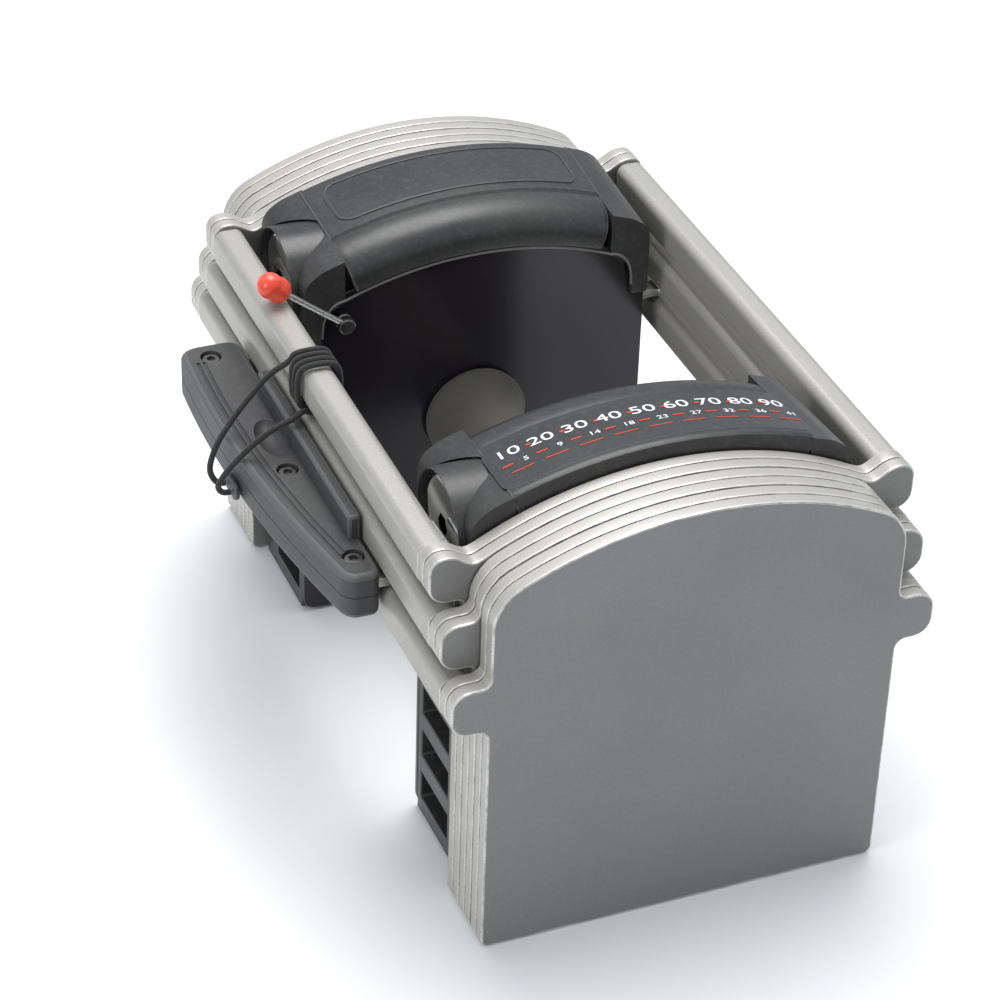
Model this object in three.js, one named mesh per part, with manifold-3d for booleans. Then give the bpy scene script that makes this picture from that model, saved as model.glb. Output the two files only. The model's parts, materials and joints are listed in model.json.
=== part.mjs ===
// Adjustable dumbbell of nested weights, in millimetres.
// +Z is up, +Y runs along the handle towards the rear end, and the selector pin is on the -X side.
// Three frame-shaped weights nest round a black core that carries the hand grip. Each weight is two
// steel plates at either end, joined by one rail along each side. The pin's fork passes under the
// rails of the second weight, so the core, weight 1 and weight 2 lift together out of weight 3.
import * as THREE from 'three';
import { mergeVertices } from 'three/addons/utils/BufferGeometryUtils.js';
import Module from 'manifold-3d';

const wasm = await Module();
wasm.setup();

// ---- Driving dimensions ----
const LENGTH = 304;            // over the outermost plates
const BODY_HALF = 80;          // half the width of a plate below its ears
const EAR_HALF = 94;           // half the width over the ears and rails
const PLATE_TOP = 176;         // top of a plate's arc
const PLATE_ARC_R = 155;       // radius of that arc
const PLATE_T = 5.5;           // thickness of one steel plate
const PAIR_GAP = 0.3;          // between the two plates of one weight
const NEST_GAP = 0.6;          // between one weight and the next
const CORE_GAP = 0.8;          // between the core and the innermost plates
const RAIL_W = 12;
const RAIL_H = 15.5;
const RAIL_R = 4;
const RAIL_PITCH = 20.5;       // height from one weight's rail to the next
const RAIL_TOP_Z = 151;        // middle of weight 1's rail
const EAR_H = 19;
const SEAT = 0.3;              // gap left where one fixed piece meets another

const MODULE_DEPTH = 50;       // length of each end of the core along the handle
const MODULE_HALF = 74;        // half the width of the core
const CORE_FLOOR = 1;          // the core hangs just clear of the floor
const SKIN_T = 2.5;            // end plates and inner panels of the core
const BAR_LIP = 4.1;           // how far a top bar stands into the hand space
const BAR_TOP = 182;
const BAR_END_Z = 167;         // height of the bar's top at its ends
const BAR_END_X = 71;
const BAR_LEG = 7;             // thickness of the short legs at the bar's ends
const BAR_UNDER = 161;         // underside of the arch at its middle
const LEG_FOOT = 129;
const COLUMN_W = 14;
const COLUMN_TOP = 125;
const SLOT_W = 28;
const SLOT_UP = 2.6;           // slot height above the fork's level
const SLOT_DOWN = 10;          // and below it
const SLOT_LEVELS = 6;

const ADDER_D = 40.5;          // end caps of an adder weight
const ADDER_BODY_D = 36.5;
const ADDER_LEN = 136;
const ADDER_CAP = 9;
const ADDER_CLEAR = 0.25;
const CHANNEL_WALL = 1.4;
const CHANNEL_Z = 147.5;
const CHANNEL_MOUTH = 76.5;
const CHANNEL_END = 63.5;      // closed end, on the side away from the pin
const BLIND_WALL = 2;
const HEX_ACROSS = 9;
const HEX_DEPTH = 7;

const HANDLE_Z = 84;
const HANDLE_R = 11;
const HANDLE_BORE = 8;
const GRIP_MID_R = 16.5;
const GRIP_FLARE_R = 21.5;
const GRIP_CLEAR = 0.3;

const FORK_T = 4;
const FORK_W = 8;
const FORK_Y = 78;             // middle of each prong
const FORK_TIP = 88;
const PIN_INNER = 95;
const PIN_END = 114;           // outer edge of the pin body at its ends, before its slant
const PIN_MID = 120.2;         // and at its middle
const PIN_SLANT = 0.065;       // the body is wider towards the rear
const PIN_REACH = 121;         // how far the body stands out beside the eyelet
const PIN_HALF = 85;
const PIN_TOP = 127.5;
const PIN_BOTTOM = 108.5;
const PIN_SPLIT_GAP = 0.3;
const RIDGE_TOP = 137.6;
const RIDGE_W = 5;
const EYELET_T = 2;
const EYELET_Z = 112;
const EYELET_Y = 7;

const CORD_D = 2.4;
const LEVER_WIRE_D = 3;
const BALL_R = 5.3;

// ---- Derived places ----
const HALF = LENGTH / 2;
const WEIGHT_PACK = 2 * PLATE_T + PAIR_GAP;
const weightOuter = (k) => HALF - (3 - k) * (WEIGHT_PACK + NEST_GAP);
const weightInner = (k) => weightOuter(k) - WEIGHT_PACK;
const railZ = (k) => RAIL_TOP_Z - (k - 1) * RAIL_PITCH;
const CORE_END = weightInner(1) - CORE_GAP;
const PANEL_Y = CORE_END - MODULE_DEPTH;
const CHANNEL_Y = (CORE_END + PANEL_Y) / 2;
const RAIL_X = EAR_HALF - RAIL_W / 2;
const FORK_Z = railZ(2) - RAIL_PITCH / 2;
const MID_SHIFT = (PIN_REACH + EYELET_T + SEAT - EAR_HALF) / 2;

// ---- Materials ----
const finish = (color, roughness, metalness) => ({ color, roughness, metalness });
const PLATE_GREY = finish(0x8f8f8c, 0.5, 0.6);
const RAIL_GREY = finish(0xa9a79e, 0.5, 0.6);
const CORE_BLACK = finish(0x2c2c2e, 0.45, 0.0);
const GLOSS_BLACK = finish(0x141216, 0.15, 0.0);
const GRIP_GREY = finish(0x4c4a42, 0.8, 0.0);
const PIN_BLACK = finish(0x333335, 0.6, 0.0);
const STEEL = finish(0xb9bcc0, 0.3, 1.0);
const CHROME = finish(0xe3e5e8, 0.08, 1.0);
const BALL_RED = finish(0xd8402c, 0.4, 0.0);
const CORD_BLACK = finish(0x1b1b1c, 0.9, 0.0);

const group = new THREE.Group();
group.position.set(MID_SHIFT, 0, 0);

function add(name, geometry, look) {
  const mesh = new THREE.Mesh(geometry, new THREE.MeshStandardMaterial(look));
  mesh.name = name;
  group.add(mesh);
  return mesh;
}

// ---- Solid helpers ----
function positionOnly(geometry) {
  const bare = geometry.clone();
  bare.deleteAttribute('normal');
  bare.deleteAttribute('uv');
  return mergeVertices(bare, 1e-4);
}

function toSolid(geometry) {
  const merged = positionOnly(geometry);
  return new wasm.Manifold(new wasm.Mesh({
    numProp: 3,
    vertProperties: new Float32Array(merged.attributes.position.array),
    triVerts: new Uint32Array(merged.index.array),
  }));
}

function fromSolid(solid) {
  const mesh = solid.getMesh();
  const geometry = new THREE.BufferGeometry();
  geometry.setAttribute('position', new THREE.BufferAttribute(new Float32Array(mesh.vertProperties), 3));
  geometry.setIndex(new THREE.BufferAttribute(new Uint32Array(mesh.triVerts), 1));
  return geometry;
}

// Cuts every tool out of a piece.
function cut(geometry, ...tools) {
  return fromSolid(tools.reduce((solid, tool) => solid.subtract(toSolid(tool)), toSolid(geometry)));
}

function join(geometry, other) {
  return fromSolid(toSolid(geometry).add(toSolid(other)));
}

const STEPS = { curveSegments: 6, bevelEnabled: false };

// An outline drawn as (x, z), drawn out along Y from y0 to y1.
function alongY(shape, y0, y1, options = {}) {
  const bevel = options.bevelEnabled ? options.bevelThickness : 0;
  const geometry = new THREE.ExtrudeGeometry(shape, { ...STEPS, ...options, depth: y1 - y0 - 2 * bevel });
  geometry.rotateX(Math.PI / 2);
  geometry.translate(0, y1 - bevel, 0);
  return geometry;
}

// An outline drawn as (y, z), drawn out along X from x0 to x1.
function alongX(shape, x0, x1) {
  const geometry = new THREE.ExtrudeGeometry(shape, { ...STEPS, depth: x1 - x0 });
  const turn = new THREE.Matrix4().makeBasis(
    new THREE.Vector3(0, 1, 0), new THREE.Vector3(0, 0, 1), new THREE.Vector3(1, 0, 0));
  geometry.applyMatrix4(turn);
  geometry.translate(x0, 0, 0);
  return geometry;
}

// An outline drawn as (x, y), drawn up from z0 to z1.
function alongZ(shape, z0, z1, options = {}) {
  const bevel = options.bevelEnabled ? options.bevelThickness : 0;
  const geometry = new THREE.ExtrudeGeometry(shape, { ...STEPS, ...options, depth: z1 - z0 - 2 * bevel });
  geometry.translate(0, 0, z0 + bevel);
  return geometry;
}

function box(x0, x1, y0, y1, z0, z1) {
  const geometry = new THREE.BoxGeometry(x1 - x0, y1 - y0, z1 - z0);
  geometry.translate((x0 + x1) / 2, (y0 + y1) / 2, (z0 + z1) / 2);
  return geometry;
}

// A profile of [radius, height] points turned about the Z axis.
function turned(profile, sides) {
  const points = profile.map(([r, h]) => new THREE.Vector2(r, h));
  const geometry = new THREE.LatheGeometry(points, sides);
  geometry.rotateX(Math.PI / 2);
  return geometry;
}

const turnedAlongX = (profile, sides) => turned(profile, sides).rotateY(Math.PI / 2);
const turnedAlongY = (profile, sides) => turned(profile, sides).rotateX(-Math.PI / 2);

function roundedRect(width, height, radius) {
  const shape = new THREE.Shape();
  const w = width / 2;
  const h = height / 2;
  shape.absarc(w - radius, -h + radius, radius, -Math.PI / 2, 0, false);
  shape.absarc(w - radius, h - radius, radius, 0, Math.PI / 2, false);
  shape.absarc(-w + radius, h - radius, radius, Math.PI / 2, Math.PI, false);
  shape.absarc(-w + radius, -h + radius, radius, Math.PI, 1.5 * Math.PI, false);
  shape.closePath();
  return shape;
}

// ---- Weights ----
// Shoulder between the plate's upright side and its top arc.
const SHOULDER_R = 16;
const UPPER_HALF = BODY_HALF - 0.5;
const ARC_CENTRE_Z = PLATE_TOP - PLATE_ARC_R;
const SHOULDER_X = UPPER_HALF - SHOULDER_R;
const SHOULDER_Z = ARC_CENTRE_Z + Math.sqrt((PLATE_ARC_R - SHOULDER_R) ** 2 - SHOULDER_X ** 2);
const SHOULDER_ANGLE = Math.atan2(SHOULDER_Z - ARC_CENTRE_Z, SHOULDER_X);
const FOOT_R = 3;
const EAR_UNDER_FILLET = 4;
const EAR_TIP_R = 7;
const EAR_TOP_FILLET = 3.5;

// One plate, as (x, z). The ear stands out on both sides at the height of the weight's rail. The top
// arc of weight 1 runs down into its ear, and the other two have a shoulder above it.
function plateShape(k) {
  const low = railZ(k) - EAR_H / 2;
  const high = railZ(k) + EAR_H / 2;
  const shape = new THREE.Shape();
  const side = (s, up) => {
    const points = [
      ['L', BODY_HALF - FOOT_R, 0],
      ['Q', BODY_HALF, 0, BODY_HALF, FOOT_R],
      ['L', BODY_HALF, low - EAR_UNDER_FILLET],
      ['Q', BODY_HALF, low, BODY_HALF + EAR_UNDER_FILLET, low],
      ['L', EAR_HALF - EAR_TIP_R, low],
      ['Q', EAR_HALF, low, EAR_HALF, low + EAR_TIP_R],
      ['L', EAR_HALF, high - EAR_TIP_R],
      ['Q', EAR_HALF, high, EAR_HALF - EAR_TIP_R, high],
    ];
    if (k === 1) {
      const joinAngle = SHOULDER_ANGLE + 0.03;
      const joinX = PLATE_ARC_R * Math.cos(joinAngle);
      const joinZ = ARC_CENTRE_Z + PLATE_ARC_R * Math.sin(joinAngle);
      points.push(['Q', BODY_HALF - 1, high - 4, joinX, joinZ]);
    } else {
      points.push(['Q', UPPER_HALF, high, UPPER_HALF, Math.min(high + EAR_TOP_FILLET, SHOULDER_Z)]);
      points.push(['L', UPPER_HALF, SHOULDER_Z]);
    }
    if (up) {
      for (const [kind, ...v] of points) {
        if (kind === 'L') shape.lineTo(s * v[0], v[1]);
        else shape.quadraticCurveTo(s * v[0], v[1], s * v[2], v[3]);
      }
      return;
    }
    for (let i = points.length - 1; i > 0; i -= 1) {
      const [kind, ...v] = points[i];
      const before = points[i - 1];
      const endX = before[before.length - 2];
      const endZ = before[before.length - 1];
      if (kind === 'L') shape.lineTo(s * endX, endZ);
      else shape.quadraticCurveTo(s * v[0], v[1], s * endX, endZ);
    }
  };
  shape.moveTo(-BODY_HALF + FOOT_R, 0);
  side(1, true);
  if (k === 1) {
    const joinAngle = SHOULDER_ANGLE + 0.03;
    shape.absarc(0, ARC_CENTRE_Z, PLATE_ARC_R, joinAngle, Math.PI - joinAngle, false);
  } else {
    shape.absarc(SHOULDER_X, SHOULDER_Z, SHOULDER_R, 0, SHOULDER_ANGLE, false);
    shape.absarc(0, ARC_CENTRE_Z, PLATE_ARC_R, SHOULDER_ANGLE, Math.PI - SHOULDER_ANGLE, false);
    shape.absarc(-SHOULDER_X, SHOULDER_Z, SHOULDER_R, Math.PI - SHOULDER_ANGLE, Math.PI, false);
  }
  side(-1, false);
  return shape;
}

for (const k of [1, 2, 3]) {
  const shape = plateShape(k);
  const outer = weightOuter(k);
  const inner = weightInner(k);
  for (const [end, s] of [['front', -1], ['rear', 1]]) {
    const outerPair = [s * (outer - PLATE_T), s * outer].sort((a, b) => a - b);
    const innerPair = [s * inner, s * (inner + PLATE_T)].sort((a, b) => a - b);
    add(`weight${k}_plate_${end}_outer`, alongY(shape, ...outerPair), PLATE_GREY);
    add(`weight${k}_plate_${end}_inner`, alongY(shape, ...innerPair), PLATE_GREY);
  }
  for (const [side, s] of [['left', -1], ['right', 1]]) {
    const rail = alongY(roundedRect(RAIL_W, RAIL_H, RAIL_R), -inner + SEAT, inner - SEAT);
    rail.translate(s * RAIL_X, 0, railZ(k));
    add(`weight${k}_rail_${side}`, rail, RAIL_GREY);
  }
}

// ---- Core: end modules ----
const BAR_ARC_R = (BAR_END_X ** 2 + (BAR_TOP - BAR_END_Z) ** 2) / (2 * (BAR_TOP - BAR_END_Z));
const BAR_ARC_Z = BAR_TOP - BAR_ARC_R;
const BAR_ARC_END = Math.atan2(BAR_END_Z - BAR_ARC_Z, BAR_END_X);
const LEG_INNER = MODULE_HALF - BAR_LEG;
const UNDER_SPRING_X = 58;     // where the arch's underside turns down into the legs
const UNDER_SPRING_Z = 150;

// The underside of the arch with the insides of its legs, as (x, z), moved inwards by gap.
function archUnder(path, gap) {
  const x = LEG_INNER - gap;
  path.lineTo(x, UNDER_SPRING_Z - 10);
  path.quadraticCurveTo(x, UNDER_SPRING_Z - gap, UNDER_SPRING_X, UNDER_SPRING_Z - gap + 1);
  path.quadraticCurveTo(30, BAR_UNDER - gap, 0, BAR_UNDER - gap);
  path.quadraticCurveTo(-30, BAR_UNDER - gap, -UNDER_SPRING_X, UNDER_SPRING_Z - gap + 1);
  path.quadraticCurveTo(-x, UNDER_SPRING_Z - gap, -x, UNDER_SPRING_Z - 10);
}

function barShape() {
  const shape = new THREE.Shape();
  shape.moveTo(LEG_INNER, LEG_FOOT);
  archUnder(shape, 0);
  shape.lineTo(-LEG_INNER, LEG_FOOT);
  shape.lineTo(-MODULE_HALF, LEG_FOOT);
  shape.lineTo(-MODULE_HALF, BAR_END_Z - 7);
  shape.quadraticCurveTo(-MODULE_HALF, BAR_END_Z - 1, -BAR_END_X, BAR_END_Z);
  shape.absarc(0, BAR_ARC_Z, BAR_ARC_R, Math.PI - BAR_ARC_END, BAR_ARC_END, true);
  shape.quadraticCurveTo(MODULE_HALF, BAR_END_Z - 1, MODULE_HALF, BAR_END_Z - 7);
  shape.lineTo(MODULE_HALF, LEG_FOOT);
  shape.closePath();
  return shape;
}

// The panels and end plates fill the arch and, below its legs, the full width of the core.
function skinShape() {
  const shape = new THREE.Shape();
  const foot = 6;
  shape.moveTo(-MODULE_HALF + foot, CORE_FLOOR);
  shape.lineTo(MODULE_HALF - foot, CORE_FLOOR);
  shape.quadraticCurveTo(MODULE_HALF, CORE_FLOOR, MODULE_HALF, CORE_FLOOR + foot);
  shape.lineTo(MODULE_HALF, LEG_FOOT - SEAT);
  shape.lineTo(LEG_INNER - SEAT, LEG_FOOT - SEAT);
  archUnder(shape, SEAT);
  shape.lineTo(-LEG_INNER + SEAT, LEG_FOOT - SEAT);
  shape.lineTo(-MODULE_HALF, LEG_FOOT - SEAT);
  shape.lineTo(-MODULE_HALF, CORE_FLOOR + foot);
  shape.quadraticCurveTo(-MODULE_HALF, CORE_FLOOR, -MODULE_HALF + foot, CORE_FLOOR);
  return shape;
}

// A side column with a slot at each level that the fork can take below weight 1.
function columnShape() {
  const shape = new THREE.Shape();
  const y0 = PANEL_Y + SKIN_T + SEAT;
  const y1 = CORE_END - SKIN_T - SEAT;
  shape.moveTo(y0, CORE_FLOOR);
  shape.lineTo(y1, CORE_FLOOR);
  shape.lineTo(y1, COLUMN_TOP);
  shape.lineTo(y0, COLUMN_TOP);
  shape.closePath();
  const slot0 = FORK_Y - FORK_W / 2 - 2;
  for (let level = 0; level < SLOT_LEVELS; level += 1) {
    const z = FORK_Z - level * RAIL_PITCH;
    const hole = new THREE.Path();
    hole.moveTo(slot0, z - SLOT_DOWN);
    hole.lineTo(slot0, z + SLOT_UP);
    hole.lineTo(slot0 + SLOT_W, z + SLOT_UP);
    hole.lineTo(slot0 + SLOT_W, z - SLOT_DOWN);
    hole.closePath();
    shape.holes.push(hole);
  }
  return shape;
}

const ROUND = 32;
const CHANNEL_BORE = ADDER_D / 2 + ADDER_CLEAR;
const CHANNEL_R = CHANNEL_BORE + CHANNEL_WALL;
const ADDER_END = CHANNEL_END - BLIND_WALL - SEAT;

// The socket that an adder weight slides into, open on the pin side and closed on the other.
function channelGeometry() {
  return turnedAlongX([
    [0, CHANNEL_END - BLIND_WALL],
    [CHANNEL_BORE, CHANNEL_END - BLIND_WALL],
    [CHANNEL_BORE, -CHANNEL_MOUTH],
    [CHANNEL_R, -CHANNEL_MOUTH],
    [CHANNEL_R, CHANNEL_END],
    [0, CHANNEL_END],
  ], ROUND);
}

// A steel cylinder with a wider collar and a hexagon socket at each end.
function adderGeometry() {
  const x0 = ADDER_END - ADDER_LEN;
  const r = ADDER_D / 2;
  const body = turnedAlongX([
    [0, x0],
    [r - 4, x0],
    [r, x0 + 3],
    [r, x0 + ADDER_CAP - 2],
    [ADDER_BODY_D / 2, x0 + ADDER_CAP],
    [ADDER_BODY_D / 2, ADDER_END - ADDER_CAP],
    [r, ADDER_END - ADDER_CAP + 2],
    [r, ADDER_END - 3],
    [r - 4, ADDER_END],
    [0, ADDER_END],
  ], ROUND);
  const socket = (x) => {
    const hex = new THREE.CylinderGeometry(HEX_ACROSS / 2, HEX_ACROSS / 2, 2 * HEX_DEPTH, 6);
    hex.rotateZ(Math.PI / 2);
    return hex.translate(x, 0, 0);
  };
  return cut(body, socket(x0), socket(ADDER_END));
}

// Everything in the core that repeats at both ends is drawn for the rear end and, for the front, moved
// or turned over in Y, so that both channels open on the pin side.
const mirrorY = (shape) => {
  const points = shape.extractPoints(STEPS.curveSegments);
  const flipped = new THREE.Shape(points.shape.map((p) => new THREE.Vector2(-p.x, p.y)));
  for (const hole of points.holes) {
    flipped.holes.push(new THREE.Path(hole.map((p) => new THREE.Vector2(-p.x, p.y))));
  }
  return flipped;
};

for (const [end, s] of [['front', -1], ['rear', 1]]) {
  const spans = (a, b) => [s * a, s * b].sort((p, q) => p - q);
  const channelRoom = turnedAlongX([
    [0, -CHANNEL_MOUTH - 5],
    [CHANNEL_R + SEAT, -CHANNEL_MOUTH - 5],
    [CHANNEL_R + SEAT, CHANNEL_END + SEAT],
    [0, CHANNEL_END + SEAT],
  ], ROUND).translate(0, s * CHANNEL_Y, CHANNEL_Z);
  const handleRoom = turnedAlongY([
    [0, -HALF],
    [HANDLE_R + GRIP_CLEAR, -HALF],
    [HANDLE_R + GRIP_CLEAR, HALF],
    [0, HALF],
  ], 24).translate(0, 0, HANDLE_Z);
  const bar = alongY(barShape(), ...spans(PANEL_Y - BAR_LIP, CORE_END), {
    bevelEnabled: true, bevelThickness: 3, bevelSize: 2.5, bevelOffset: -2.5, bevelSegments: 2,
  });
  add(`core_bar_${end}`, cut(bar, channelRoom), CORE_BLACK);
  const panel = alongY(skinShape(), ...spans(PANEL_Y, PANEL_Y + SKIN_T));
  add(`core_panel_${end}`, cut(panel, handleRoom), GLOSS_BLACK);
  const plate = alongY(skinShape(), ...spans(CORE_END - SKIN_T, CORE_END));
  add(`core_end_plate_${end}`, plate, CORE_BLACK);
  for (const [side, x] of [['left', -MODULE_HALF], ['right', MODULE_HALF - COLUMN_W]]) {
    const outline = s > 0 ? columnShape() : mirrorY(columnShape());
    add(`core_column_${end}_${side}`, alongX(outline, x, x + COLUMN_W), CORE_BLACK);
  }
  add(`adder_channel_${end}`, channelGeometry().translate(0, s * CHANNEL_Y, CHANNEL_Z), CORE_BLACK);
  add(`adder_weight_${end}`, adderGeometry().translate(0, s * CHANNEL_Y, CHANNEL_Z), CHROME);
}

// The scale strip on the front bar and the plain strip on the rear bar lie on the bars' arcs.
const STRIP_T = 0.6;
const STRIP_ANGLE = Math.asin(58 / BAR_ARC_R);
function stripShape() {
  const low = BAR_ARC_R + 0.2;
  const shape = new THREE.Shape();
  shape.absarc(0, BAR_ARC_Z, low + STRIP_T, Math.PI / 2 - STRIP_ANGLE, Math.PI / 2 + STRIP_ANGLE, false);
  shape.absarc(0, BAR_ARC_Z, low, Math.PI / 2 + STRIP_ANGLE, Math.PI / 2 - STRIP_ANGLE, true);
  shape.closePath();
  return shape;
}
const STRIP_NEAR = PANEL_Y + 8;
const STRIP_FAR = CORE_END - 5;
add('scale_strip', alongY(stripShape(), -STRIP_FAR, -STRIP_NEAR), CORE_BLACK);
add('plain_strip', alongY(stripShape(), STRIP_NEAR, STRIP_FAR), CORE_BLACK);

// ---- Handle ----
const TUBE_END = CORE_END - SKIN_T - SEAT;
add('handle_tube', turnedAlongY([
  [HANDLE_BORE, -TUBE_END],
  [HANDLE_R, -TUBE_END],
  [HANDLE_R, TUBE_END],
  [HANDLE_BORE, TUBE_END],
  [HANDLE_BORE, -TUBE_END],
], 24).translate(0, 0, HANDLE_Z), STEEL);

// The rubber grip swells a little in the palm and flares out to a collar at each panel.
function gripProfile() {
  const end = PANEL_Y - SEAT;
  const bore = HANDLE_R + GRIP_CLEAR;
  const outside = [];
  const steps = 14;
  for (let i = 0; i <= steps; i += 1) {
    const t = -1 + (2 * i) / steps;
    const flare = Math.pow(Math.abs(t), 7);
    const palm = 1.2 * Math.cos(t * Math.PI * 0.5) ** 2;
    outside.push([GRIP_MID_R - 1.2 + palm + (GRIP_FLARE_R - GRIP_MID_R + 1.2) * flare, t * end]);
  }
  return [[bore, -end], ...outside, [bore, end], [bore, -end]];
}
add('hand_grip', turnedAlongY(gripProfile(), 24).translate(0, 0, HANDLE_Z), GRIP_GREY);

// ---- Selector pin ----
// The outer side is a shallow bow, set at a slant.
const pinOuter = (y) => -PIN_MID + (PIN_MID - PIN_END) * (y / PIN_HALF) ** 2 - PIN_SLANT * y;
function pinShape() {
  const shape = new THREE.Shape();
  const r = 5;
  shape.moveTo(-PIN_INNER, -PIN_HALF + r);
  shape.lineTo(-PIN_INNER, PIN_HALF - r);
  shape.quadraticCurveTo(-PIN_INNER, PIN_HALF, -PIN_INNER - r, PIN_HALF);
  shape.lineTo(pinOuter(PIN_HALF) + r, PIN_HALF);
  shape.quadraticCurveTo(pinOuter(PIN_HALF), PIN_HALF, pinOuter(PIN_HALF - r), PIN_HALF - r);
  const steps = 12;
  for (let i = 1; i <= steps; i += 1) {
    const y = (PIN_HALF - r) * (1 - (2 * i) / steps);
    shape.lineTo(pinOuter(y), y);
  }
  shape.quadraticCurveTo(pinOuter(-PIN_HALF), -PIN_HALF, pinOuter(-PIN_HALF) + r, -PIN_HALF);
  shape.lineTo(-PIN_INNER - r, -PIN_HALF);
  shape.quadraticCurveTo(-PIN_INNER, -PIN_HALF, -PIN_INNER, -PIN_HALF + r);
  return shape;
}

const FORK_LINK = 104;         // outer edge of the bar that joins the prongs
function forkShape() {
  const y0 = FORK_Y - FORK_W / 2;
  const y1 = FORK_Y + FORK_W / 2;
  const shape = new THREE.Shape();
  shape.moveTo(-FORK_LINK, -y1);
  shape.lineTo(FORK_TIP - 3, -y1);
  shape.lineTo(FORK_TIP, -FORK_Y);
  shape.lineTo(FORK_TIP - 3, -y0);
  shape.lineTo(-FORK_LINK + FORK_W, -y0);
  shape.lineTo(-FORK_LINK + FORK_W, y0);
  shape.lineTo(FORK_TIP - 3, y0);
  shape.lineTo(FORK_TIP, FORK_Y);
  shape.lineTo(FORK_TIP - 3, y1);
  shape.lineTo(-FORK_LINK, y1);
  shape.closePath();
  return shape;
}
add('pin_fork', alongZ(forkShape(), FORK_Z - FORK_T / 2, FORK_Z + FORK_T / 2), STEEL);

const SPLIT_Z = FORK_Z - FORK_T / 2 - SEAT;
const shellBevel = { bevelEnabled: true, bevelThickness: 2, bevelSize: 2, bevelOffset: -2, bevelSegments: 2 };
const forkRoom = [
  box(-FORK_LINK - SEAT, -FORK_LINK + FORK_W + SEAT, -FORK_Y - FORK_W / 2 - SEAT, FORK_Y + FORK_W / 2 + SEAT,
    SPLIT_Z - 1, FORK_Z + FORK_T / 2 + SEAT),
  ...[-FORK_Y, FORK_Y].map((y) => box(-FORK_LINK, -PIN_INNER + 3, y - FORK_W / 2 - SEAT, y + FORK_W / 2 + SEAT,
    SPLIT_Z - 1, FORK_Z + FORK_T / 2 + SEAT)),
];
const SCREWS = [[-101.5, -72], [-106, -11], [-109, 75]];
const SCREW_R = 3.8;
const SCREW_T = 2.2;
const screwRoom = SCREWS.map(([x, y]) => turned([
  [0, PIN_TOP - SCREW_T - 1],
  [SCREW_R + SEAT, PIN_TOP - SCREW_T - 1],
  [SCREW_R + SEAT, PIN_TOP + 5],
  [0, PIN_TOP + 5],
], 24).translate(x, y, 0));
const thumbRoom = new THREE.SphereGeometry(1, 24, 12).scale(6.5, 14, 5).translate(-104.5, 11, PIN_TOP + 1);
const ridge = box(-PIN_INNER - RIDGE_W, -PIN_INNER, -62, 44, PIN_TOP - 4, RIDGE_TOP);
const upper = join(alongZ(pinShape(), SPLIT_Z + PIN_SPLIT_GAP, PIN_TOP, shellBevel), ridge);
add('pin_shell_upper', cut(upper, ...forkRoom, ...screwRoom, thumbRoom), PIN_BLACK);
add('pin_shell_lower', alongZ(pinShape(), PIN_BOTTOM, SPLIT_Z, shellBevel), PIN_BLACK);

SCREWS.forEach(([x, y], i) => {
  const top = PIN_TOP - 0.5;
  const head = turned([
    [0, top - SCREW_T],
    [SCREW_R, top - SCREW_T],
    [SCREW_R, top - 0.8],
    [SCREW_R - 0.8, top],
    [1.9, top],
    [1.4, top - 1.3],
    [0, top - 1.3],
  ], 20);
  add(`pin_screw_${i + 1}`, head.translate(x, y, 0), STEEL);
});

// ---- Lanyard ----
const eyelet = alongX(roundedRect(14, 6.4, 3.1), -PIN_REACH - SEAT - EYELET_T, -PIN_REACH - SEAT);
add('lanyard_eyelet', eyelet.translate(0, EYELET_Y, EYELET_Z), PIN_BLACK);

// One cord leaves the eyelet, winds round weight 1's left rail and comes back to the eyelet.
const CORD_TURNS = 3.8;        // from over the rail's outer edge to under it, the fourth time round
const CORD_STANDOFF = CORD_D / 2 + 0.8;
const CORD_PITCH = 3.6;
const CORD_START_ANGLE = 0.86 * Math.PI;
const cordUp = [
  [-124.0, 10.2, 112.0], [-127.0, 10.6, 112.6], [-129.2, 12.4, 117.0], [-126.5, 15.0, 124.5],
  [-119.5, 17.5, 133.5], [-111.0, 18.6, 143.0], [-103.0, 18.4, 151.5],
];
const cordDown = [
  [-99.5, 1.6, 141.0], [-105.0, 0.5, 139.9], [-112.5, 0.4, 136.0], [-120.0, 1.0, 129.5],
  [-127.0, 2.0, 121.0], [-129.0, 3.0, 115.5], [-126.8, 3.6, 112.4], [-124.0, 3.8, 112.0],
];
// A turn is a rounded rectangle round the rail's section.
function cordTurns() {
  const points = [];
  const a = RAIL_W / 2 + CORD_STANDOFF;
  const b = RAIL_H / 2 + CORD_STANDOFF;
  const perTurn = 12;
  const total = CORD_TURNS * 2 * Math.PI;
  const count = Math.round(CORD_TURNS * perTurn);
  for (let i = 0; i <= count; i += 1) {
    const angle = CORD_START_ANGLE - (total * i) / count;
    const c = Math.cos(angle);
    const n = Math.sin(angle);
    const x = -RAIL_X + a * Math.sign(c) * Math.abs(c) ** 0.5;
    const z = RAIL_TOP_Z + b * Math.sign(n) * Math.abs(n) ** 0.5;
    points.push([x, 16.5 - (CORD_PITCH * CORD_TURNS * i) / count, z]);
  }
  return points;
}
const route = [...cordUp, ...cordTurns(), ...cordDown].map((p) => new THREE.Vector3(...p));
const cordPath = new THREE.CatmullRomCurve3(route, false, 'centripetal');
const cordSection = new THREE.Shape();
const CORD_SIDES = 8;
for (let i = 0; i < CORD_SIDES; i += 1) {
  const angle = (2 * Math.PI * i) / CORD_SIDES;
  const x = (CORD_D / 2) * Math.cos(angle);
  const y = (CORD_D / 2) * Math.sin(angle);
  if (i === 0) cordSection.moveTo(x, y);
  else cordSection.lineTo(x, y);
}
cordSection.closePath();
const CORD_STEPS = 80;
add('lanyard_cord', new THREE.ExtrudeGeometry(cordSection, {
  steps: CORD_STEPS, bevelEnabled: false, extrudePath: cordPath,
}), CORD_BLACK);

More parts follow.
